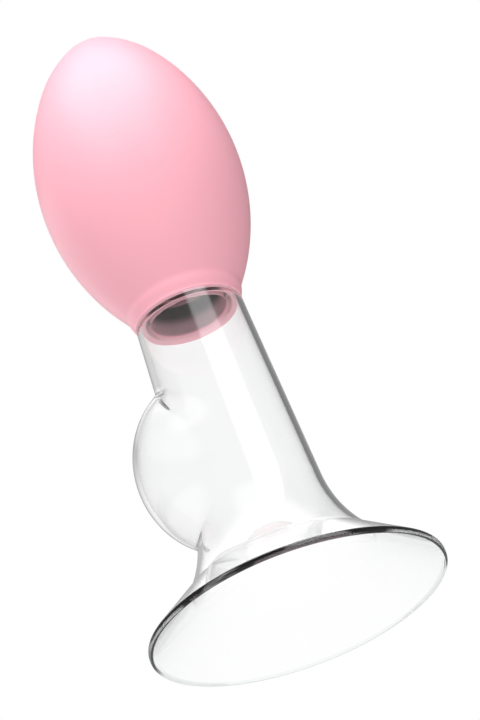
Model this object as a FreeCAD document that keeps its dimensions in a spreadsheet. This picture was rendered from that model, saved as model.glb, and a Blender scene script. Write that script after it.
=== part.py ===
import FreeCAD, Part
import Sketcher
import math
import os

# Hand suction cup: a clear glass cup with a flared mouth, a straight neck and a side
# reservoir, and a silicone squeeze bulb pushed on to the neck's spigot. The bulb is
# built as a shell and two round pressing faces that sit in its windows.
#
# Frame: millimetres, +Z from the mouth to the bulb's crown, origin at the centre of
# the flat rim the cup stands on, reservoir towards -X, pressing faces towards -Y and +Y.

os.makedirs("parts", exist_ok=True)
doc = FreeCAD.newDocument("hand_suction_cup")
Vector = FreeCAD.Vector

# ----------------------------------------------------------------- dimensions
# alias, value or formula of the aliases above it, note
DIMENSIONS = [
    # the glass cup, outside
    ("rim_radius", 40.0, "outside radius of the mouth"),
    ("rim_height", 1.5, "height of the plain outer edge of the rim"),
    ("rim_round", 0.35, "rounding of the rim's two outer edges"),
    ("flare_top_r", 25.8, "end of the straight flare, radius"),
    ("flare_top_z", 12.407, "end of the straight flare, height"),
    ("throat_low_r", 25.186, "end of the first throat curve, radius"),
    ("throat_low_z", 13.020, "end of the first throat curve, height"),
    ("throat_low_curve", 3.36, "radius of the first throat curve"),
    ("throat_top_r", 17.588, "start of the straight neck, radius"),
    ("throat_top_z", 33.573, "start of the straight neck, height"),
    ("throat_curve", 36.72, "radius of the main throat curve"),
    ("neck_top_r", 14.703, "neck radius under the bulb's collar"),
    ("neck_top_z", 90.0, "height of the shoulder the collar sits against"),
    # the spigot
    ("spigot_r", 12.0, "outside radius of the spigot"),
    ("spigot_end_z", 99.5, "height of the spigot's end"),
    ("spigot_lead", 0.5, "lead-in chamfer at the spigot's end"),
    # the glass cup, inside
    ("glass_wall", 1.4, "glass thickness of the throat, shoulder and spigot"),
    ("rim_inner_r", 39.15, "inside radius of the flat rim face"),
    ("flare_in_r", 24.947, "inside end of the flare, radius"),
    ("flare_in_z", 11.297, "inside end of the flare, height"),
    ("throat_in_low_r", 24.078, "inside end of the first throat curve, radius"),
    ("throat_in_low_z", 12.165, "inside end of the first throat curve, height"),
    ("throat_in_low_curve", "throat_low_curve + glass_wall", "first throat curve, inside"),
    ("throat_in_r", 16.190, "inside start of the straight neck, radius"),
    ("throat_in_z", 33.501, "inside start of the straight neck, height"),
    ("throat_in_curve", "throat_curve + glass_wall", "main throat curve, inside"),
    ("neck_in_r", 13.431, "neck bore radius under the shoulder"),
    ("neck_in_z", 87.4, "height where the bore starts to close in"),
    ("shoulder_in_r", 12.2, "inside shoulder, radius"),
    ("shoulder_in_z", "neck_top_z - glass_wall", "inside shoulder, height"),
    ("shoulder_curve", 1.25, "radius of the curve into the shoulder"),
    ("spigot_bore_r", "spigot_r - glass_wall", "bore radius of the spigot"),
    ("bore_overrun", 1.0, "reach of the bore's cut past both ends of the cup"),
    # the side reservoir, an ellipsoid
    ("pocket_x", -6.0, "reservoir centre, x"),
    ("pocket_z", 46.95, "reservoir centre, z"),
    ("pocket_out", 22.35, "outside half length along x"),
    ("pocket_side", 16.7, "outside half width along y"),
    ("pocket_up", 25.6, "outside half height along z"),
    ("pocket_wall", 1.2, "glass thickness of the reservoir"),
    # the silicone bulb, outside
    ("bulb_fit", 0.05, "gap of the collar over the shoulder and around the spigot"),
    ("bulb_mouth_z", "neck_top_z + bulb_fit", "height of the collar's mouth"),
    ("bulb_mouth_r", 14.8, "outside radius at the mouth"),
    ("bulb_bead_r", 15.72, "outside radius of the collar's bead"),
    ("bulb_bead_z", 93.02, "height of the collar's bead"),
    ("bulb_bead_curve", 5.26, "radius of the bead's lower curve"),
    ("bulb_foot_r", 16.335, "radius where the egg meets the collar"),
    ("bulb_foot_z", 95.0, "height where the egg meets the collar"),
    ("bulb_foot_curve", 3.5, "radius of the hollow between egg and collar"),
    ("bulb_side_r", 18.189, "end of the side curve, radius"),
    ("bulb_side_z", 164.622, "end of the side curve, height"),
    ("bulb_side_curve", 63.91, "radius of the side curve"),
    ("bulb_hip_r", 7.759, "end of the hip curve, radius"),
    ("bulb_hip_z", 175.996, "end of the hip curve, height"),
    ("bulb_hip_curve", 40.31, "radius of the hip curve"),
    ("bulb_top_z", 178.55, "height of the crown"),
    # the silicone bulb, inside
    ("bulb_wall", 2.8, "silicone thickness of the egg"),
    ("bulb_bore_r", "spigot_r + bulb_fit", "bore of the collar, a sliding fit"),
    ("bulb_bore_lead", 0.3, "lead-in at the mouth of the bore"),
    ("bulb_bore_z", 100.4, "end of the collar's bore"),
    ("bulb_floor_z", 102.0, "start of the egg's cavity, height"),
    # the two pressing faces of the bulb
    ("press_z", 132.0, "height of the middle of the pressing faces"),
    ("press_r", 18.6, "radius of a pressing face"),
    ("press_gap", 0.4, "room around a pressing face"),
    ("press_reach", 21.0, "half height of a pressing face's blank"),
    ("press_low_z", "press_z - press_reach", "lower limit of the blank"),
    ("press_high_z", "press_z + press_reach", "upper limit of the blank"),
    # the frame that cuts away a blank around its pressing face
    ("trim_half_x", 60.0, "half width of the trimming frame"),
    ("trim_low_z", 60.0, "lower edge of the trimming frame"),
    ("trim_high_z", 200.0, "upper edge of the trimming frame"),
]
PRESS_SWEEP = 130.0  # degrees a pressing face's blank is revolved through
EDGE_TOLERANCE = 0.02  # for finding the rim's edges
LEAST_WINDOW_CUT = 5000.0  # mm3 the two windows must remove together
LEAST_TRIM_CUT = 500.0  # mm3 the trim of a blank must remove

sheet = doc.addObject("Spreadsheet::Sheet", "Dims")
size = {}  # alias: value


def add_dimensions(rows):
    """Appends rows to the sheet and notes their values in size."""
    for row, (alias, value, note) in enumerate(rows, start=len(size) + 1):
        content = "=" + value if isinstance(value, str) else "%.9g" % value
        sheet.set("A%d" % row, alias)
        sheet.set("B%d" % row, content)
        sheet.set("C%d" % row, note)
        sheet.setAlias("B%d" % row, alias)
    doc.recompute()
    for alias, _, _ in rows:
        size[alias] = float(sheet.get(alias))


add_dimensions(DIMENSIONS)


def number(expression):
    """Value of a sum or difference of aliases and numbers, set apart by spaces."""
    total, sign = 0.0, 1.0
    for word in expression.split():
        if word in ("+", "-"):
            sign = 1.0 if word == "+" else -1.0
        else:
            total += sign * (size[word] if word in size else float(word))
    return total


def bound(expression):
    """The same expression as FreeCAD reads it from outside the sheet."""
    return " ".join("Dims." + word if word in size else word for word in expression.split())


# -------------------------------------------------------------------- sketches
X_AXIS, Y_AXIS = -1, -2  # a sketch's own axes
START, END, CENTRE = 1, 2, 3  # points of a sketch's edge
ORIGIN = (X_AXIS, START)


def origin_plane(body, role):
    return [item for item in body.Origin.OriginFeatures if item.Role == role][0]


def new_body(label):
    body = doc.addObject("PartDesign::Body", label)
    body.Label = label
    return body


def new_sketch(body, name, role):
    sketch = body.newObject("Sketcher::SketchObject", name)
    sketch.AttachmentSupport = [(origin_plane(body, role), "")]
    sketch.MapMode = "FlatFace"
    return sketch


def dimension(sketch, kind, where, expression, mirrored=False):
    """Adds a dimension bound to an expression of aliases."""
    value = -number(expression) if mirrored else number(expression)
    index = sketch.addConstraint(Sketcher.Constraint(kind, *where, value))
    formula = "-(%s)" % bound(expression) if mirrored else bound(expression)
    sketch.setExpression("Constraints[%d]" % index, formula)


def arc_through(first, last, radius, left):
    """Arc with its centre to the left or right of the way from first to last.
    Returns the arc and which of its points lie on first and on last."""
    dx, dy = last[0] - first[0], last[1] - first[1]
    half = math.hypot(dx, dy) / 2
    rise = math.sqrt(max(radius * radius - half * half, 0.0))
    side = 1.0 if left else -1.0
    x = (first[0] + last[0]) / 2 - side * rise * dy / (2 * half)
    y = (first[1] + last[1]) / 2 + side * rise * dx / (2 * half)
    begin = math.atan2(first[1] - y, first[0] - x)
    finish = math.atan2(last[1] - y, last[0] - x)
    ends = (START, END)
    if not left:  # the arc itself always runs anticlockwise
        begin, finish = finish, begin
        ends = (END, START)
    if finish <= begin:
        finish += 2 * math.pi
    circle = Part.Circle(Vector(x, y, 0), Vector(0, 0, 1), radius)
    return Part.ArcOfCircle(circle, begin, finish), ends[0], ends[1]


def crown_centre(foot, top_z):
    """Height of the centre, on the axis, of the arc from foot to the axis at top_z."""
    r, z = foot
    return (top_z * top_z - z * z - r * r) / (2 * (top_z - z))


def edge_between(first, last, curve, mirrored):
    """Line or arc from first to last, with which of its points lie on each."""
    if curve is None:
        return Part.LineSegment(Vector(*first, 0), Vector(*last, 0)), START, END
    kind, left = curve
    if kind == "crown":
        top, foot = (first, last) if abs(first[0]) < 1e-9 else (last, first)
        return arc_through(first, last, abs(top[1] - crown_centre(foot, top[1])), left)
    return arc_through(first, last, number(kind), left != mirrored)


def outline(sketch, points, mirrored=False):
    """A closed outline. points: (x expression, y expression, edge to the next point),
    where an edge is None for a line or (radius expression, centre on the left). An arc
    given as "crown" has its centre on the axis and one of its ends there too."""
    side = -1.0 if mirrored else 1.0
    places = [(side * number(x), number(y)) for x, y, _ in points]
    count = len(points)
    edges = []
    for i, (_, _, curve) in enumerate(points):
        shape, start, end = edge_between(places[i], places[(i + 1) % count], curve, mirrored)
        edges.append((sketch.addGeometry(shape, False), start, end))
    for i in range(count):
        edge, _, end = edges[i]
        following, start, _ = edges[(i + 1) % count]
        sketch.addConstraint(Sketcher.Constraint("Coincident", edge, end, following, start))
    for (x, y, curve), place, (edge, start, _) in zip(points, places, edges):
        if abs(place[0]) < 1e-9:
            sketch.addConstraint(Sketcher.Constraint("PointOnObject", edge, start, Y_AXIS))
        else:
            dimension(sketch, "DistanceX", (*ORIGIN, edge, start), x, mirrored)
        if abs(place[1]) < 1e-9:
            sketch.addConstraint(Sketcher.Constraint("PointOnObject", edge, start, X_AXIS))
        else:
            dimension(sketch, "DistanceY", (*ORIGIN, edge, start), y)
        if curve is not None and curve[0] == "crown":
            sketch.addConstraint(Sketcher.Constraint("PointOnObject", edge, CENTRE, Y_AXIS))
        elif curve is not None:
            dimension(sketch, "Radius", (edge,), curve[0])
    return sketch


def press_circle(sketch, radius):
    """Circle around the middle of the pressing faces."""
    circle = Part.Circle(Vector(0, size["press_z"], 0), Vector(0, 0, 1), number(radius))
    edge = sketch.addGeometry(circle, False)
    sketch.addConstraint(Sketcher.Constraint("PointOnObject", edge, CENTRE, Y_AXIS))
    dimension(sketch, "DistanceY", (*ORIGIN, edge, CENTRE), "press_z")
    dimension(sketch, "Radius", (edge,), radius)


# -------------------------------------------------------------------- features
def revolve(body, sketch, kind, name, angle=360.0, midplane=False):
    feature = body.newObject("PartDesign::" + kind, name)
    feature.Profile = sketch
    feature.ReferenceAxis = (sketch, ["V_Axis"])
    feature.Angle = angle
    feature.Midplane = midplane
    sketch.Visibility = False
    doc.recompute()


def cut_through(body, sketch, name, least_cut):
    """Cuts a sketch through the body both ways, and fails if too little goes."""
    before = body.Tip.Shape.Volume
    cut = body.newObject("PartDesign::Pocket", name)
    cut.Profile = sketch
    cut.Type = "ThroughAll"
    cut.Midplane = True
    doc.recompute()
    if not cut.Shape.Volume < before - least_cut:
        raise RuntimeError(name + " cut too little")


# ------------------------------------------------------------------- glass cup
def reservoir(body, kind, name, inset=""):
    """The reservoir's ellipsoid; inset is taken off each half length."""
    bubble = body.newObject("PartDesign::" + kind, name)
    bubble.AttachmentSupport = [(origin_plane(body, "XY_Plane"), "")]
    bubble.MapMode = "FlatFace"
    bubble.AttachmentOffset = FreeCAD.Placement(
        Vector(size["pocket_x"], 0, size["pocket_z"]), FreeCAD.Rotation()
    )
    bubble.setExpression("AttachmentOffset.Base.x", "Dims.pocket_x")
    bubble.setExpression("AttachmentOffset.Base.z", "Dims.pocket_z")
    bubble.setExpression("Radius1", bound("pocket_up" + inset))
    bubble.setExpression("Radius2", bound("pocket_out" + inset))
    bubble.setExpression("Radius3", bound("pocket_side" + inset))
    doc.recompute()


def is_rim_edge(edge):
    """True for the lower and upper outer circles of the rim."""
    curve = getattr(edge, "Curve", None)
    return (
        curve is not None
        and curve.TypeId == "Part::GeomCircle"
        and abs(curve.Radius - size["rim_radius"]) < EDGE_TOLERANCE
        and any(abs(curve.Center.z - z) < EDGE_TOLERANCE for z in (0.0, size["rim_height"]))
    )


def round_rim(body):
    base = body.Tip
    names = ["Edge%d" % i for i, edge in enumerate(base.Shape.Edges, 1) if is_rim_edge(edge)]
    if not names:
        raise RuntimeError("no edges for RimEdges")
    fillet = body.newObject("PartDesign::Fillet", "RimEdges")
    fillet.Base = (base, names)
    fillet.Radius = size["rim_round"]
    fillet.setExpression("Radius", "Dims.rim_round")
    doc.recompute()


def glass_cup():
    body = new_body("cup")
    outside = outline(
        new_sketch(body, "CupOutside", "XZ_Plane"),
        [
            ("0", "0", None),
            ("rim_radius", "0", None),
            ("rim_radius", "rim_height", None),
            ("flare_top_r", "flare_top_z", ("throat_low_curve", False)),
            ("throat_low_r", "throat_low_z", ("throat_curve", False)),
            ("throat_top_r", "throat_top_z", None),
            ("neck_top_r", "neck_top_z", None),
            ("spigot_r", "neck_top_z", None),
            ("spigot_r", "spigot_end_z - spigot_lead", None),
            ("spigot_r - spigot_lead", "spigot_end_z", None),
            ("0", "spigot_end_z", None),
        ],
    )
    revolve(body, outside, "Revolution", "CupBlank")
    reservoir(body, "AdditiveEllipsoid", "ReservoirBubble")

    # The bore comes after the bubble, so it also clears the bubble out of the neck.
    inside = outline(
        new_sketch(body, "CupInside", "XZ_Plane"),
        [
            ("0", "- bore_overrun", None),
            ("rim_inner_r", "- bore_overrun", None),
            ("rim_inner_r", "0", None),
            ("flare_in_r", "flare_in_z", ("throat_in_low_curve", False)),
            ("throat_in_low_r", "throat_in_low_z", ("throat_in_curve", False)),
            ("throat_in_r", "throat_in_z", None),
            ("neck_in_r", "neck_in_z", ("shoulder_curve", True)),
            ("shoulder_in_r", "shoulder_in_z", None),
            ("spigot_r", "shoulder_in_z", ("glass_wall", False)),
            ("spigot_bore_r", "neck_top_z", None),
            ("spigot_bore_r", "spigot_end_z + bore_overrun", None),
            ("0", "spigot_end_z + bore_overrun", None),
        ],
    )
    revolve(body, inside, "Groove", "CupBore")
    reservoir(body, "SubtractiveEllipsoid", "ReservoirHollow", " - pocket_wall")
    round_rim(body)
    return body


# --------------------------------------------------------------- silicone bulb
def inward(point, centre, depth):
    """The point moved towards centre by depth."""
    distance = math.hypot(point[0] - centre[0], point[1] - centre[1])
    scale = (distance - depth) / distance
    return tuple(c + (p - c) * scale for p, c in zip(point, centre))


def add_bulb_dimensions():
    """Adds the points that follow from the egg's outside curves and its wall."""
    foot = (size["bulb_foot_r"], size["bulb_foot_z"])
    side = (size["bulb_side_r"], size["bulb_side_z"])
    hip = (size["bulb_hip_r"], size["bulb_hip_z"])
    wall, outer = size["bulb_wall"], size["bulb_side_curve"]
    inner = outer - wall
    centre = arc_through(foot, side, outer, True)[0].Center

    def radius_at(height, curve):
        """Radius of the egg's side at the height of an alias."""
        return centre.x + math.sqrt(curve * curve - (size[height] - centre.y) ** 2)

    side_in = inward(side, (centre.x, centre.y), wall)
    hip_in = inward(hip, (0.0, crown_centre(hip, size["bulb_top_z"])), wall)
    rows = [
        ("bulb_hip_in_r", hip_in[0], "inside end of the hip curve, radius"),
        ("bulb_hip_in_z", hip_in[1], "inside end of the hip curve, height"),
        ("bulb_side_in_r", side_in[0], "inside end of the side curve, radius"),
        ("bulb_side_in_z", side_in[1], "inside end of the side curve, height"),
        ("bulb_floor_in_r", radius_at("bulb_floor_z", inner), "cavity radius at its floor"),
    ]
    for level in ("low", "high"):
        for face, place, curve in (("out", "outside", outer), ("in", "inside", inner)):
            alias = "press_%s_%s_r" % (level, face)
            note = "pressing face, %s radius, %s" % (place, level)
            rows.append((alias, radius_at("press_%s_z" % level, curve), note))
    add_dimensions(rows)


def bulb_shell():
    """Collar and hollow egg in one section, with round windows towards -Y and +Y."""
    body = new_body("bulb_shell")
    section = outline(
        new_sketch(body, "BulbSection", "XZ_Plane"),
        [
            ("bulb_bore_r + bulb_bore_lead", "bulb_mouth_z", None),
            ("bulb_mouth_r", "bulb_mouth_z", ("bulb_bead_curve", True)),
            ("bulb_bead_r", "bulb_bead_z", ("bulb_foot_curve", False)),
            ("bulb_foot_r", "bulb_foot_z", ("bulb_side_curve", True)),
            ("bulb_side_r", "bulb_side_z", ("bulb_hip_curve", True)),
            ("bulb_hip_r", "bulb_hip_z", ("crown", True)),
            ("0", "bulb_top_z", None),
            ("0", "bulb_top_z - bulb_wall", ("crown", False)),
            ("bulb_hip_in_r", "bulb_hip_in_z", ("bulb_hip_curve - bulb_wall", False)),
            ("bulb_side_in_r", "bulb_side_in_z", ("bulb_side_curve - bulb_wall", False)),
            ("bulb_floor_in_r", "bulb_floor_z", None),
            ("bulb_bore_r", "bulb_bore_z", None),
            ("bulb_bore_r", "bulb_mouth_z + bulb_bore_lead", None),
        ],
    )
    revolve(body, section, "Revolution", "BulbEgg")
    windows = new_sketch(body, "PressWindows", "XZ_Plane")
    press_circle(windows, "press_r + press_gap")
    cut_through(body, windows, "PressWindowCut", LEAST_WINDOW_CUT)
    return body


def pressing_face(label, mirrored):
    """Round piece of the egg's wall, towards +Y, or towards -Y if mirrored."""
    body = new_body(label)
    section = outline(
        new_sketch(body, label + "Section", "YZ_Plane"),
        [
            ("press_low_in_r", "press_low_z", None),
            ("press_low_out_r", "press_low_z", ("bulb_side_curve", True)),
            ("press_high_out_r", "press_high_z", None),
            ("press_high_in_r", "press_high_z", ("bulb_side_curve - bulb_wall", False)),
        ],
        mirrored,
    )
    revolve(body, section, "Revolution", label + "Blank", angle=PRESS_SWEEP, midplane=True)
    # The frame with a round hole in it cuts away all but the face.
    trim = outline(
        new_sketch(body, label + "Trim", "XZ_Plane"),
        [
            ("- trim_half_x", "trim_low_z", None),
            ("trim_half_x", "trim_low_z", None),
            ("trim_half_x", "trim_high_z", None),
            ("- trim_half_x", "trim_high_z", None),
        ],
    )
    press_circle(trim, "press_r")
    cut_through(body, trim, label + "Trimmed", LEAST_TRIM_CUT)
    return body


# ------------------------------------------------------------ pieces and output
add_bulb_dimensions()
pieces = [
    glass_cup(),
    bulb_shell(),
    pressing_face("bulb_thumb_wall", mirrored=True),
    pressing_face("bulb_finger_wall", mirrored=False),
]
doc.recompute()
for item in doc.Objects:
    if "Invalid" in item.State or "Error" in item.State:
        raise RuntimeError("%s failed: %s" % (item.Name, item.State))
for piece in pieces:
    shape = piece.Shape
    if shape.isNull() or not shape.isValid() or len(shape.Solids) != 1:
        raise RuntimeError(piece.Label + " has no single valid solid")
for piece in pieces:
    piece.Shape.exportStep("parts/%s.step" % piece.Label)
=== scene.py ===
"""Looks for a hand suction cup: a clear glass cup and a satin silicone squeeze bulb.

Both pieces are turned about Z, +Z up, with the cup's rim on z = 0 and the bulb on top.
The cup's reservoir swells towards -X and the thumb presses the bulb from -Y. Sections
are (r, z) outlines in millimetres; everything else is in metres.
"""

import math

import bpy
import numpy as np
from mathutils import Matrix, Vector


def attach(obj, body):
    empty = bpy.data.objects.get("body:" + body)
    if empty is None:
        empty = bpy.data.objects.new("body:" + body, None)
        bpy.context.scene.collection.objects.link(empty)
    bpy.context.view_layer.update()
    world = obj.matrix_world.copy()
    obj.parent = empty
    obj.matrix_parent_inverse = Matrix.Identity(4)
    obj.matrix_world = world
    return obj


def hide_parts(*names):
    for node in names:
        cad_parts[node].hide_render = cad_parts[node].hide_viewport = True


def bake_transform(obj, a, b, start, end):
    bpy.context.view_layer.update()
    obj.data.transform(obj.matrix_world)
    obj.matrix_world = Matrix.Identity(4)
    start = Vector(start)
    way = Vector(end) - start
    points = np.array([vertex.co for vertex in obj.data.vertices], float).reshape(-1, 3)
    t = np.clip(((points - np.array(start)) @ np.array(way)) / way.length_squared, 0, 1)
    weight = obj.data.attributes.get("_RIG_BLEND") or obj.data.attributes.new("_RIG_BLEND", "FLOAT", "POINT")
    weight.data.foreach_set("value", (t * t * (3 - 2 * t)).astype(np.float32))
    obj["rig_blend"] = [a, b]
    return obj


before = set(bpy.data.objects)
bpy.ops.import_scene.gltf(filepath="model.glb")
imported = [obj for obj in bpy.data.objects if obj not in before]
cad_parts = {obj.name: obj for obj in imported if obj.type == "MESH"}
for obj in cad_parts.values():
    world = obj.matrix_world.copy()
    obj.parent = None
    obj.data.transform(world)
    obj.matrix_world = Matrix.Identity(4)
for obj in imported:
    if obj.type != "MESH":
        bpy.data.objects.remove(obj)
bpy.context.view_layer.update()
MM = 0.001
ON_AXIS = 1e-9  # a smaller radius counts as a point on the axis


# ------------------------------------------------------------------ 2-D outlines
def arc_centre(start, end, radius, left=True):
    """Centre of the arc from start to end, to the left or right of the way."""
    start, end = np.array(start, float), np.array(end, float)
    way = end - start
    half = np.hypot(*way) / 2
    height = math.sqrt(max(radius**2 - half**2, 0.0))
    normal = np.array([-way[1], way[0]]) / (2 * half)
    return (start + end) / 2 + (height if left else -height) * normal


def arc_points(start, end, radius, left, step_deg):
    """Points from start to end on an arc, at most step_deg apart."""
    centre = arc_centre(start, end, radius, left)
    angle0 = math.atan2(*(start - centre)[::-1])
    angle1 = math.atan2(*(end - centre)[::-1])
    if left and angle1 < angle0:
        angle1 += 2 * math.pi
    if not left and angle1 > angle0:
        angle1 -= 2 * math.pi
    steps = max(2, int(math.ceil(abs(angle1 - angle0) / math.radians(step_deg))))
    angles = np.linspace(angle0, angle1, steps + 1)
    return np.c_[centre[0] + radius * np.cos(angles), centre[1] + radius * np.sin(angles)]


def arc_chain(start, arcs):
    """Joined arcs from start. Rows are (end r, end z, radius, centre on left, step_deg)."""
    points = [np.array(start, float)]
    for r, z, radius, left, step_deg in arcs:
        points += list(arc_points(start, (r, z), radius, left, step_deg))[1:]
        start = (r, z)
    return points


def fillet(before, corner, after, radius, step_deg):
    """The arc that rounds a corner between its two neighbours."""
    before, corner, after = (np.array(v, float) for v in (before, corner, after))
    back, on = before - corner, after - corner
    back_unit, on_unit = back / np.hypot(*back), on / np.hypot(*on)
    angle = math.acos(max(-1, min(1, float(back_unit @ on_unit))))
    reach = radius / math.tan(angle / 2)
    left = on[0] * back[1] - on[1] * back[0] > 0
    start, end = corner + back_unit * reach, corner + on_unit * reach
    return arc_points(start, end, radius, left, step_deg)


def fillets(before, corners, after):
    """Rounds a run of corners. Rows are (r, z, radius, step_deg)."""
    path = [before] + [row[:2] for row in corners] + [after]
    points = []
    for i, (r, z, radius, step_deg) in enumerate(corners):
        points += list(fillet(path[i], (r, z), path[i + 2], radius, step_deg))
    return points


def lathe(name, loop, segments, shape=None):
    """Turns a closed (r, z) loop about Z. Points on the axis become single vertices.

    shape(i, r, z, phi) may give loop point i a radius for each angle in phi.
    """
    phi = np.arange(segments) * 2 * math.pi / segments
    verts, rings = [], []
    for i, (r, z) in enumerate(loop):
        if r < ON_AXIS:
            rings.append([len(verts)] * segments)
            verts.append((0.0, 0.0, z))
            continue
        radii = np.full(segments, r) if shape is None else shape(i, r, z, phi)
        start = len(verts)
        verts.extend(zip(radii * np.cos(phi), radii * np.sin(phi), np.full(segments, z)))
        rings.append(list(range(start, start + segments)))
    faces = []
    for i, a in enumerate(rings):
        b = rings[(i + 1) % len(rings)]
        a_point, b_point = a[0] == a[1], b[0] == b[1]
        if a_point and b_point:
            continue
        for k in range(segments):
            k2 = (k + 1) % segments
            if a_point:
                faces.append((a[k], b[k2], b[k]))
            elif b_point:
                faces.append((a[k], a[k2], b[k]))
            else:
                faces.append((a[k], a[k2], b[k2], b[k]))
    mesh = bpy.data.meshes.new(name)
    mesh.from_pydata([tuple(c * MM for c in v) for v in verts], [], faces)
    mesh.validate()
    mesh.polygons.foreach_set("use_smooth", np.ones(len(mesh.polygons), bool))
    mesh.update()
    return add_object(name, mesh)


def add_object(name, data):
    obj = bpy.data.objects.new(name, data)
    bpy.context.scene.collection.objects.link(obj)
    return obj


def smoothstep(t):
    return t * t * (3 - 2 * t)


# --------------------------------------------------------------------- glass cup
CUP_SEGMENTS = 360
RIM_R = 40
RIM_INNER = (39.15, 0)  # inner edge of the rim's foot
FLARE_TOP = (25.8, 12.407)
NECK_FOOT = (17.588, 33.573)  # the straight taper starts here
SPIGOT_R, SPIGOT_BORE_R = 12, 10.6
SPIGOT_FOOT_Z, SPIGOT_TOP_Z = 90, 99.5
SPIGOT_CHAMFER = 0.5
NECK_ROOF_Z = 88.7
NECK_FOOT_IN = (16.190, 33.501)
FLARE_TOP_IN = (24.947, 11.297)

# the reservoir is an ellipsoid centred on y = 0
RESERVOIR_X, RESERVOIR_Z = -6.0, 46.95
RESERVOIR_HALF = (22.35, 16.7, 25.6)
RESERVOIR_WALL = 1.2

LONG_STEP = 1.2  # longer steps get support rows near their ends
SUPPORT = 0.12
FINE_ROW, COARSE_ROW = 0.55, 6.0


def rows_from(p, q):
    """Point p and the rows that divide the step from p to q."""
    r, z = (p + q) / 2
    spacing = FINE_ROW if 19 < z < 76 and r > 12.5 else COARSE_ROW
    length = float(np.hypot(*(q - p)))
    inner = []
    if length > LONG_STEP:
        end = SUPPORT / length
        count = max(1, int(math.ceil((length - 2 * SUPPORT) / spacing)))
        inner = np.linspace(end, 1 - end, count + 1)
    elif length > spacing:
        inner = np.linspace(0, 1, int(math.ceil(length / spacing)) + 1)[1:-1]
    return [p] + [p + (q - p) * t for t in inner]


def cup_loop():
    """Closed section of the cup without its reservoir, from the rim's foot, up the
    outside, over the spigot and down the inside. Returns points and inside flags."""
    chamfer_outer = (SPIGOT_R, SPIGOT_TOP_Z - SPIGOT_CHAMFER)
    chamfer_top = (SPIGOT_R - SPIGOT_CHAMFER, SPIGOT_TOP_Z)
    bore_top = (SPIGOT_BORE_R, SPIGOT_TOP_Z)
    outside = fillets(RIM_INNER, [(RIM_R, 0, 0.62, 10), (RIM_R, 1.5, 0.62, 10)], FLARE_TOP)
    outside += arc_chain(
        FLARE_TOP,
        [(25.186, 13.02, 3.36, False, 4), (*NECK_FOOT, 36.72, False, 1.2)],
    )
    outside += fillets(
        NECK_FOOT,
        [
            (14.703, SPIGOT_FOOT_Z, 0.25, 12),
            (SPIGOT_R, SPIGOT_FOOT_Z, 0.5, 15),
            (*chamfer_outer, 0.4, 15),
            (*chamfer_top, 0.3, 15),
        ],
        bore_top,
    )
    inside = fillets(
        chamfer_top,
        [
            (*bore_top, 0.3, 15),
            (SPIGOT_BORE_R, NECK_ROOF_Z, 0.7, 12),
            (13.36, NECK_ROOF_Z, 0.4, 10),
        ],
        NECK_FOOT_IN,
    )
    inside += arc_chain(
        NECK_FOOT_IN,
        [(24.078, 12.165, 38.12, True, 1.2), (*FLARE_TOP_IN, 4.76, True, 4)],
    )
    inside += fillets(FLARE_TOP_IN, [(*RIM_INNER, 0.48, 8)], (RIM_R, 0))
    points = outside + inside
    loop, flags = [], []
    for i, point in enumerate(points):
        rows = rows_from(point, points[(i + 1) % len(points)])
        loop += rows
        flags += [i >= len(outside)] * len(rows)
    return loop, flags


def smooth_max(a, b, width):
    overlap = np.maximum(width - np.abs(a - b), 0) / width
    return np.maximum(a, b) + overlap * overlap * width / 4


def reservoir_radius(phi, z, inset):
    """Distance from the axis to the inset ellipsoid in direction phi, 0 where it misses."""
    half_x, half_y, half_z = (half - inset for half in RESERVOIR_HALF)
    slice_square = 1 - ((z - RESERVOIR_Z) / half_z) ** 2
    if slice_square <= 1e-6:
        return np.zeros_like(phi)
    half_x *= math.sqrt(slice_square)
    half_y *= math.sqrt(slice_square)
    # the quadratic that the distance solves
    square = (np.cos(phi) / half_x) ** 2 + (np.sin(phi) / half_y) ** 2
    linear = -2 * RESERVOIR_X * np.cos(phi) / half_x**2
    constant = RESERVOIR_X**2 / half_x**2 - 1
    disc = linear * linear - 4 * square * constant
    distance = (-linear + np.sqrt(np.maximum(disc, 0))) / (2 * square)
    return np.where(disc > 0, np.maximum(distance, 0), 0.0)


def build_cup():
    loop, inside = cup_loop()

    def swell(i, r, z, phi):
        """Joins the reservoir to the turned wall, most softly on its flanks."""
        turned = np.full(len(phi), r)
        if not 18.0 < z < 78.0 or r < 12.9:
            return turned
        reservoir = reservoir_radius(phi, z, RESERVOIR_WALL if inside[i] else 0.0)
        facing = -np.cos(phi)  # 1 towards the reservoir, on -X
        near = smoothstep(np.clip(0.5 + facing / 0.7, 0, 1))
        flank = np.clip(5 * (1 - facing), 0, 1) * np.clip((facing - 0.35) / 0.3, 0, 1)
        return smooth_max(turned, reservoir, 0.35 + (0.95 + 0.9 * flank) * near)

    cup = lathe("glass_cup", loop, CUP_SEGMENTS, swell)
    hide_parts("cup")
    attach(cup, "cup")
    return cup


# ------------------------------------------------------------------ silicone bulb
BULB_SEGMENTS = 256
BULB_WALL = 2.8
LIP_Z = 89.98
LIP_TOP = (15.33, 91.75)
SIDE_FOOT, SIDE_TOP, SIDE_RADIUS = (16.335, 95.0), (18.189, 164.622), 63.91
CROWN_EDGE, SHOULDER_RADIUS = (7.759, 175.996), 40.31
CROWN_Z = 178.55
BORE_R, BORE_TOP_Z = 11.97, 100.4
CAVITY_FLOOR_Z = 102.0

PRESS_END = (0, -0.027, 0.132)  # metres
PRESS_RADIUS = 27.0
PRESS_DEPTH = 24.0  # full weight at this distance from the plane y = 0
PRESS_SQUASH_ABOVE, PRESS_SQUASH_BELOW = 0.72, 0.80


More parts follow.
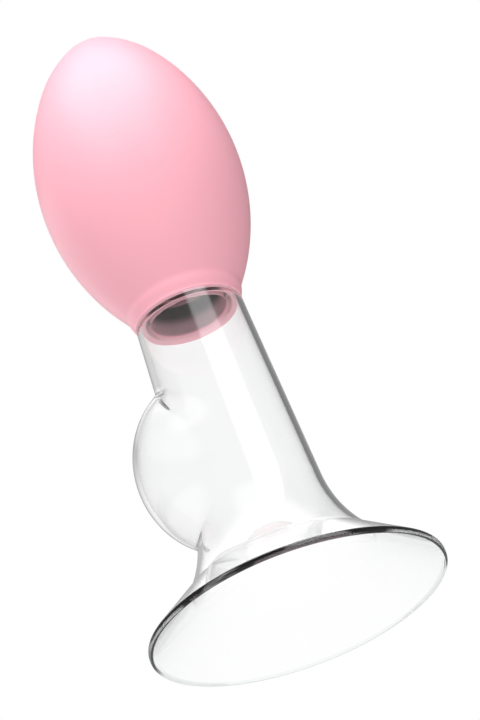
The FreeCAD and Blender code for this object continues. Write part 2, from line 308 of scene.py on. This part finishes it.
def bulb_loop():
    """Closed section of the bulb, from the lip, up the outside to the crown, then down
    the inside to the bore. Returns the points and how many lie outside."""
    outside = fillets(
        (12.35, LIP_Z),
        [(14.86, LIP_Z, 0.14, 15), (14.88, 90.36, 0.12, 15), (14.74, 90.52, 0.3, 15)],
        (15.25, 91.6),
    )
    outside += arc_chain(
        LIP_TOP,
        [
            (15.72, 93.02, 5.26, True, 5),
            (*SIDE_FOOT, 3.5, False, 5),
            (*SIDE_TOP, SIDE_RADIUS, True, 1.4),
            (*CROWN_EDGE, SHOULDER_RADIUS, True, 2.2),
        ],
    )
    # the crown is a cap of a sphere centred on the axis
    edge_r, edge_z = CROWN_EDGE
    centre_z = (CROWN_Z**2 - edge_z**2 - edge_r**2) / (2 * (CROWN_Z - edge_z))
    crown_radius = CROWN_Z - centre_z
    edge_angle = math.asin(edge_r / crown_radius)

    def crown(radius, angles):
        return [(radius * math.sin(t), centre_z + radius * math.cos(t)) for t in angles]

    outside += crown(crown_radius, np.linspace(edge_angle, 0, 14)[1:-1])
    outside.append((0.0, CROWN_Z))

    inside = [(0.0, CROWN_Z - BULB_WALL)]
    inside += crown(crown_radius - BULB_WALL, np.linspace(0, edge_angle, 12)[1:])
    centre = arc_centre(SIDE_FOOT, SIDE_TOP, SIDE_RADIUS)
    inner_radius = SIDE_RADIUS - BULB_WALL
    side_top_in = centre + (np.array(SIDE_TOP) - centre) * inner_radius / SIDE_RADIUS
    floor_r = centre[0] + math.sqrt(inner_radius**2 - (CAVITY_FLOOR_Z - centre[1]) ** 2)
    inside += arc_chain(
        inside[-1],
        [
            (*side_top_in, SHOULDER_RADIUS - BULB_WALL, False, 3),
            (floor_r, CAVITY_FLOOR_Z, inner_radius, False, 2.0),
        ],
    )[1:-1]
    bore_foot = (BORE_R, 90.35)
    inside += fillets(
        (floor_r + 0.5, CAVITY_FLOOR_Z + 3),
        [(floor_r, CAVITY_FLOOR_Z, 0.9, 15), (BORE_R, BORE_TOP_Z, 0.6, 15)],
        bore_foot,
    )
    inside += [bore_foot, (12.1, LIP_Z)]
    return outside + inside, len(outside)


def press_weights(mesh):
    """The thumb presses the near side (-Y) in and the fingers press the far side in by
    the same way, so the near side follows the thumb's wall by weights above 0 and the
    far side by the same weights below 0. Collar, crown and flanks stay with the bulb."""
    places = np.zeros(len(mesh.vertices) * 3)
    mesh.vertices.foreach_get("co", places)
    x, y, z = (places.reshape(-1, 3) / MM).T
    rise = z - PRESS_END[2] / MM
    squash = np.where(rise > 0, PRESS_SQUASH_ABOVE, PRESS_SQUASH_BELOW)
    square = (np.hypot(x, rise * squash) / PRESS_RADIUS) ** 2
    fall = np.clip(1 - square, 0, 1) ** 2 * (1 + 2 * square)
    depth = smoothstep(np.clip(np.abs(y) / PRESS_DEPTH, 0, 1))
    return (np.sign(-y) * fall * depth).astype(np.float32)


def build_bulb():
    loop, outside_count = bulb_loop()
    bulb = lathe("squeeze_bulb", loop, BULB_SEGMENTS)
    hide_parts("bulb_shell", "bulb_thumb_wall", "bulb_finger_wall")
    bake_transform(bulb, "bulb", "thumb_side", start=(0, 0, 0.1), end=PRESS_END)
    # marks the bore and the cavity, for the material
    marks = []
    for k, (r, _) in enumerate(loop):
        mark = 0.0 if k < outside_count else 1.0
        marks += [mark] * (1 if r < ON_AXIS else BULB_SEGMENTS)
    attributes = bulb.data.attributes
    attributes.new("inner_skin", "FLOAT", "POINT").data.foreach_set("value", marks)
    attributes["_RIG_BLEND"].data.foreach_set("value", press_weights(bulb.data))
    return bulb


# -------------------------------------------------------------------- node trees
class Tree:
    """Builds shader nodes. Inputs may be sockets, which are linked, or plain values."""

    def __init__(self, owner, output):
        owner.use_nodes = True
        self.tree = owner.node_tree
        self.tree.nodes.clear()
        self.output = self.node(output)

    def node(self, kind, inputs=None, **props):
        new = self.tree.nodes.new("ShaderNode" + kind)
        for key, value in props.items():
            setattr(new, key, value)
        for key, value in (inputs or {}).items():
            if isinstance(value, bpy.types.NodeSocket):
                self.tree.links.new(value, new.inputs[key])
            elif value is not None:
                new.inputs[key].default_value = value
        return new

    def finish(self, surface):
        self.tree.links.new(surface, self.output.inputs["Surface"])

    def maths(self, operation, *values):
        return self.node("Math", dict(enumerate(values)), operation=operation).outputs[0]

    def times(self, a, b):
        return self.maths("MULTIPLY", a, b)

    def scaled(self, value, factor, plus):
        return self.maths("MULTIPLY_ADD", value, factor, plus)

    def largest(self, a, b):
        return self.maths("MAXIMUM", a, b)

    def one_minus(self, value):
        return self.maths("SUBTRACT", 1.0, value)

    def above(self, value, limit):
        return self.maths("GREATER_THAN", value, limit)

    def vector(self, operation, a, b=None, output=0):
        inputs = {0: a, 1: b}
        return self.node("VectorMath", inputs, operation=operation).outputs[output]

    def xyz(self, vector):
        parts = self.node("SeparateXYZ", {0: vector}).outputs
        return parts["X"], parts["Y"], parts["Z"]

    def place(self):
        return self.node("TexCoord").outputs["Object"]

    def incoming(self):
        return self.node("NewGeometry").outputs["Incoming"]

    def backfacing(self):
        return self.node("NewGeometry").outputs["Backfacing"]

    def path(self):
        return self.node("LightPath").outputs

    def mix(self, factor, a, b, kind="RGBA"):
        inputs = {"Factor": factor, "A": a, "B": b}
        return self.node("Mix", inputs, data_type=kind).outputs["Result"]

    def mix_value(self, factor, a, b):
        return self.mix(factor, a, b, kind="FLOAT")

    def mix_shader(self, factor, a, b):
        return self.node("MixShader", {0: factor, 1: a, 2: b}).outputs[0]

    def transparent(self, colour):
        return self.node("BsdfTransparent", {"Color": colour}).outputs[0]

    def ramp(self, value, start, end):
        """0 at start, 1 at end, smooth between."""
        inputs = {"Value": value, "From Min": start, "From Max": end}
        return self.node("MapRange", inputs, interpolation_type="SMOOTHSTEP").outputs[0]

    def band(self, value, low, high, soft):
        """1 between low and high, with edges soft to either side."""
        rise = self.ramp(value, low - soft, low + soft)
        return self.times(rise, self.one_minus(self.ramp(value, high - soft, high + soft)))

    def noise(self, vector, scale, detail, roughness=None):
        inputs = {"Vector": vector, "Scale": scale, "Detail": detail, "Roughness": roughness}
        return self.node("TexNoise", inputs).outputs["Fac"]

    def bump(self, height, strength, distance, normal=None):
        inputs = {"Height": height, "Strength": strength, "Distance": distance}
        return self.node("Bump", {**inputs, "Normal": normal}).outputs["Normal"]


def new_material(name):
    mat = bpy.data.materials.new(name)
    return mat, Tree(mat, "OutputMaterial")


# --------------------------------------------------------------------- materials
def glass_material():
    """Clear, fire-polished glass: almost colourless, with the faint waviness of a
    blown and pressed wall."""
    mat, tree = new_material("clear_glass")
    place = tree.place()
    wave = tree.noise(place, scale=38.0, detail=1.5, roughness=0.4)
    # long streaks up the wall
    drawn = tree.node("Mapping", {"Vector": place, "Scale": (260.0, 260.0, 14.0)})
    lines = tree.noise(drawn.outputs[0], scale=1.0, detail=2.0)
    normal = tree.bump(wave, strength=0.05, distance=0.0003)
    normal = tree.bump(lines, strength=0.02, distance=0.00004, normal=normal)
    tint = tree.mix(wave, a=(0.990, 0.994, 0.993, 1), b=(0.994, 0.996, 0.996, 1))
    glass = tree.node(
        "BsdfPrincipled",
        {
            "Base Color": tint,
            "Roughness": 0.0,
            "IOR": 1.5,
            "Transmission Weight": 1.0,
            "Normal": normal,
        },
    )
    clear = tree.transparent((0.96, 0.97, 0.97, 1))
    path = tree.path()
    see_through = tree.largest(path["Is Shadow Ray"], path["Is Diffuse Ray"])
    # the foot of the rim, on the side away from the eye, lets the ground show through
    flat = tree.vector("MULTIPLY", place, (1, 1, 0))
    radial = tree.vector("NORMALIZE", flat)
    toward = tree.vector("DOT_PRODUCT", radial, tree.incoming(), output="Value")
    z = tree.xyz(place)[2]
    back = tree.backfacing()
    foot = tree.ramp(z, start=0.00075, end=0.00045)
    low = tree.largest(foot, tree.times(back, tree.ramp(z, start=0.006, end=0.004)))
    away = tree.times(tree.ramp(toward, start=-0.08, end=-0.28), low)
    away = tree.times(away, path["Is Camera Ray"])
    see_through = tree.largest(see_through, tree.times(away, 0.9))
    tree.finish(tree.mix_shader(see_through, glass.outputs[0], clear))
    return mat


# painted shade in the bore and cavity, darker going up where hardly any light gets in: (start z, end z,
# colour above)
BORE_PAINTED_SHADE = [
    (0.0902, 0.0909, (0.50, 0.31, 0.34, 1)),
    (0.0927, 0.0962, (0.075, 0.075, 0.073, 1)),
    (0.0987, 0.0992, (0.34, 0.19, 0.22, 1)),
    (0.1002, 0.1012, (0.55, 0.30, 0.34, 1)),
]


def silicone_material():
    """Satin pink silicone: a fine moulded grain, slight unevenness of tone and gloss,
    and a little light under the skin. The bore and the cavity get hardly any light,
    so their shade is painted into the colour, darker going up."""
    mat, tree = new_material("pink_silicone")
    place = tree.place()
    broad = tree.noise(place, scale=22.0, detail=2.0)
    pink = tree.mix(broad, a=(0.955, 0.432, 0.512, 1), b=(0.97, 0.462, 0.540, 1))
    inner = tree.node("Attribute", attribute_name="inner_skin")
    z = tree.xyz(place)[2]
    # painted shade: the bore and cavity start a little darker than the outside and darken going up
    dim = (0.90, 0.43, 0.50, 1)
    for start, end, colour in BORE_PAINTED_SHADE:
        dim = tree.mix(tree.ramp(z, start, end), dim, colour)
    # painted light: seen steeply up the wall of the spigot, as in a light guide, or after a reflection,
    # the bore is painted as pink as the lit lip; painted shade: after more than 3 glossy bounces everything
    # is painted dull
    view_z = tree.xyz(tree.incoming())[2]
    path = tree.path()
    glossy, many_bounces = path["Glossy Depth"], 3.5
    steep = tree.maths("LESS_THAN", view_z, -0.55)
    guided = tree.times(steep, tree.above(path["Transmission Depth"], 0.5))
    guided = tree.largest(guided, tree.above(glossy, 0.5))
    late = tree.above(glossy, many_bounces)
    lip = tree.mix(late, a=(0.96, 0.50, 0.56, 1), b=(0.25, 0.19, 0.205, 1))
    dim = tree.mix(guided, dim, lip)
    pink = tree.mix(tree.above(glossy, many_bounces), pink, lip)
    colour = tree.mix(inner.outputs["Fac"], pink, dim)
    fine = tree.noise(place, scale=2600.0, detail=3.0, roughness=0.6)
    medium = tree.noise(place, scale=160.0, detail=3.0)
    normal = tree.bump(fine, strength=0.12, distance=0.00006)
    normal = tree.bump(medium, strength=0.03, distance=0.0003, normal=normal)
    silicone = tree.node(
        "BsdfPrincipled",
        {
            "Base Color": colour,
            "Roughness": tree.scaled(medium, factor=0.08, plus=0.37),
            "IOR": 1.42,
            "Specular IOR Level": 0.34,
            "Subsurface Weight": 0.12,
            "Subsurface Radius": (1.0, 0.45, 0.4),
            "Subsurface Scale": 0.0015,
            "Normal": normal,
        },
    )
    tree.finish(silicone.outputs[0])
    return mat


def floor_material():
    """Pale floor that runs out into a white backdrop and is clear from below."""
    mat, tree = new_material("pale_floor")
    place = tree.place()
    grain = tree.noise(place, scale=900.0, detail=2.0)
    rough = tree.scaled(grain, factor=0.1, plus=0.55)
    # near the object the floor is painted lighter for diffuse rays only: a painted pool of light that
    # bounces more light onto the bulb
    distance = tree.vector("LENGTH", place, output="Value")
    bounce = tree.one_minus(tree.ramp(distance, start=0.08, end=0.30))
    bounce = tree.times(bounce, tree.path()["Is Diffuse Ray"])
    pale = tree.mix(bounce, a=(0.56, 0.56, 0.56, 1), b=(0.73, 0.73, 0.73, 1))
    matt = tree.node("BsdfPrincipled", {"Base Color": pale, "Roughness": rough})
    # the backdrop is greyer where the glass turns it aside, as at its edges
    distance = tree.vector("LENGTH", place, output="Value")
    path = tree.path()
    seen = tree.largest(path["Is Camera Ray"], path["Is Singular Ray"])
    fade = tree.times(tree.ramp(distance, start=0.16, end=0.75), seen)
    x, y, z = tree.xyz(tree.incoming())
    turned = tree.above(path["Glossy Depth"], 0.5)
    # rays from this side are spared most of the grey
    spare = tree.ramp(x, start=-0.12, end=0.12)
    spare = tree.times(spare, tree.ramp(y, start=-0.45, end=-0.65))
    spared = tree.times(spare, tree.ramp(z, start=0.07, end=0.15))
    turned = tree.times(turned, tree.one_minus(spared))
    turned = tree.times(turned, tree.scaled(spare, factor=-0.36, plus=0.74))
    glow = tree.one_minus(turned)
    white = tree.node("Emission", {"Color": (1, 1, 1, 1), "Strength": glow})
    top = tree.mix_shader(fade, matt.outputs[0], white.outputs[0])
    clear = tree.transparent((1, 1, 1, 1))
    tree.finish(tree.mix_shader(tree.backfacing(), top, clear))
    return mat


# ------------------------------------------------------------------------ camera
# the camera stands on the -Y side, below the floor, and looks up
RIGHT = Vector((0.93505571, 0.15521915, -0.31871279)).normalized()
UP = Vector((0.35450082, -0.4094167, 0.84065875)).normalized()
AHEAD = UP.cross(RIGHT)
EYE = Vector((8.380, -841.361, -337.448)) * MM


def build_camera():
    data = bpy.data.cameras.new("camera")
    data.sensor_width = 36.0
    data.lens = 178.374125
    data.clip_start, data.clip_end = 0.01, 50
    camera = add_object("camera", data)
    turn = Matrix((RIGHT, UP, -AHEAD)).transposed().to_4x4()
    camera.matrix_world = Matrix.Translation(EYE) @ turn
    bpy.context.scene.camera = camera


# ------------------------------------------------------------------------- floor
FLOOR_HALF, FLOOR_Z = 4.0, -0.0003


def build_floor():
    mesh = bpy.data.meshes.new("floor")
    signs = [(-1, -1), (1, -1), (1, 1), (-1, 1)]
    corners = [(x * FLOOR_HALF, y * FLOOR_HALF, FLOOR_Z) for x, y in signs]
    mesh.from_pydata(corners, [], [(0, 1, 2, 3)])
    floor = add_object("floor", mesh)
    mesh.materials.append(floor_material())
    return floor


# ------------------------------------------------------------------------- world
def build_world():
    """A room whose brightness depends on the ray's direction and its path so far.
    Numbers mixed by mix_value are brightness levels."""
    world = bpy.data.worlds.new("studio")
    bpy.context.scene.world = world
    tree = Tree(world, "OutputWorld")
    ramp, band, mix = tree.ramp, tree.band, tree.mix_value
    leaving = tree.vector("MULTIPLY", tree.incoming(), (-1, -1, -1))
    # the direction a ray leaves in, in the camera's own axes and in the model's
    right, up, ahead = (
        tree.vector("DOT_PRODUCT", leaving, tuple(axis), output="Value")
        for axis in (RIGHT, UP, AHEAD)
    )
    x, y, z = tree.xyz(leaving)

    # what comes back out of the glass after a bounce inside it: a grey card to the
    # left, a darker one to the right, white below and black overhead
    left_card = mix(ramp(up, start=-0.28, end=0.10), 1.0, 0.47)
    right_card = mix(ramp(up, start=-0.40, end=-0.12), 1.0, 0.165)
    front = mix(ramp(right, start=-0.04, end=0.05), left_card, right_card)
    front = mix(ramp(up, start=0.45, end=0.65), front, 0.06)
    # a soft window on the camera's side, turned towards +X
    around = tree.maths("ARCTAN2", x, tree.times(y, -1.0))
    sides = {"low": math.radians(8), "high": math.radians(54), "soft": math.radians(5)}
    window = band(around, **sides)
    window = tree.times(window, band(z, low=0.10, high=0.97, soft=0.02))
    below = ramp(z, start=-0.05, end=-0.25)
    behind = mix(below, 0.45, 1.4)
    inside = mix(ramp(ahead, start=-0.05, end=0.05), behind, front)
    # a pale patch well above the eye, which the flare mirrors through the throat
    patch = band(z, low=0.62, high=0.88, soft=0.05)
    patch = tree.times(patch, band(right, low=-0.27, high=0.06, soft=0.05))
    patch = tree.times(patch, ramp(ahead, start=0.60, end=0.75))
    inside = mix(patch, inside, 1.15)
    # at eye level the horizon is grey, so that the glass shows its edges from the side
    far_left = tree.times(ramp(x, start=0.12, end=-0.12), ramp(y, start=0.45, end=0.65))
    horizon = mix(far_left, 0.28, 0.62)
    inside = mix(band(z, low=-0.12, high=0.12, soft=0.04), inside, horizon)

    # what its outer skin mirrors: a dim room, the window, a pale ceiling on the left
    # and a white floor
    over = ramp(right, start=-0.85, end=-0.60)
    over = tree.times(over, tree.one_minus(ramp(right, start=-0.10, end=0.30)))
    skin = mix(tree.times(over, ramp(z, start=0.56, end=0.70)), 0.42, 1.8)
    skin = mix(tree.times(over, ramp(z, start=0.82, end=0.96)), skin, 2.6)
    skin = mix(below, tree.scaled(window, factor=4.5, plus=skin), 1.7)

    path = tree.path()
    mirrored = tree.above(path["Glossy Depth"], 0.5)
    glass = mix(mirrored, 1.03, mix(path["Is Transmission Ray"], skin, inside))
    # the light on the opaque pieces: dimmer above, brighter below and towards -X
    room = tree.scaled(tree.largest(z, 0.0), factor=-0.28, plus=0.32)
    room = tree.scaled(tree.maths("MINIMUM", z, 0.0), factor=-0.20, plus=room)
    room = tree.scaled(tree.maths("MINIMUM", x, 0.0), factor=-0.17, plus=room)
    level = mix(path["Is Singular Ray"], room, glass)
    level = mix(path["Is Camera Ray"], level, 1.0)
    background = tree.node("Background", {"Color": (1, 1, 1, 1), "Strength": level})
    tree.finish(background.outputs[0])
    world.cycles.sampling_method = "NONE"


# ------------------------------------------------------------------------ lights
LIGHT_TARGET = (0, 0, 0.13)
LIGHT_DISTANCE = 1.0


def softbox(name, toward, size, radiance, lit):
    """A square area light. It lights only the objects in the collection lit."""
    toward = Vector(toward).normalized()
    data = bpy.data.lights.new(name, "AREA")
    data.shape = "SQUARE"
    data.size = size
    data.energy = math.pi * size * size * radiance
    light = add_object(name, data)
    light.location = Vector(LIGHT_TARGET) + toward * LIGHT_DISTANCE
    light.rotation_euler = (-toward).to_track_quat("-Z", "Y").to_euler()
    light.visible_camera = False
    light.visible_transmission = False
    light.light_linking.receiver_collection = lit


def build_lights(*opaque):
    lit = bpy.data.collections.new("opaque_pieces")
    for piece in opaque:
        lit.objects.link(piece)
    softbox("key", toward=(0.015, -0.497, 0.867), size=1.3, radiance=4.45, lit=lit)
    softbox("back", toward=(-0.778, 0.628, 0.05), size=1.05, radiance=1.3, lit=lit)


def set_render():
    view = bpy.context.scene.view_settings
    view.view_transform = "Standard"
    view.look = "None"
    view.exposure = 0.0
    view.gamma = 1.0
    cycles = bpy.context.scene.cycles
    cycles.max_bounces = 24
    cycles.transmission_bounces = 24
    cycles.glossy_bounces = 16
    cycles.transparent_max_bounces = 24
    cycles.diffuse_bounces = 4
    cycles.blur_glossy = 0.3
    cycles.sample_clamp_indirect = 8.0
    cycles.use_denoising = True


cup = build_cup()
bulb = build_bulb()
cup.data.materials.append(glass_material())
bulb.data.materials.append(silicone_material())
build_camera()
floor = build_floor()
build_world()
build_lights(bulb, floor)
set_render()
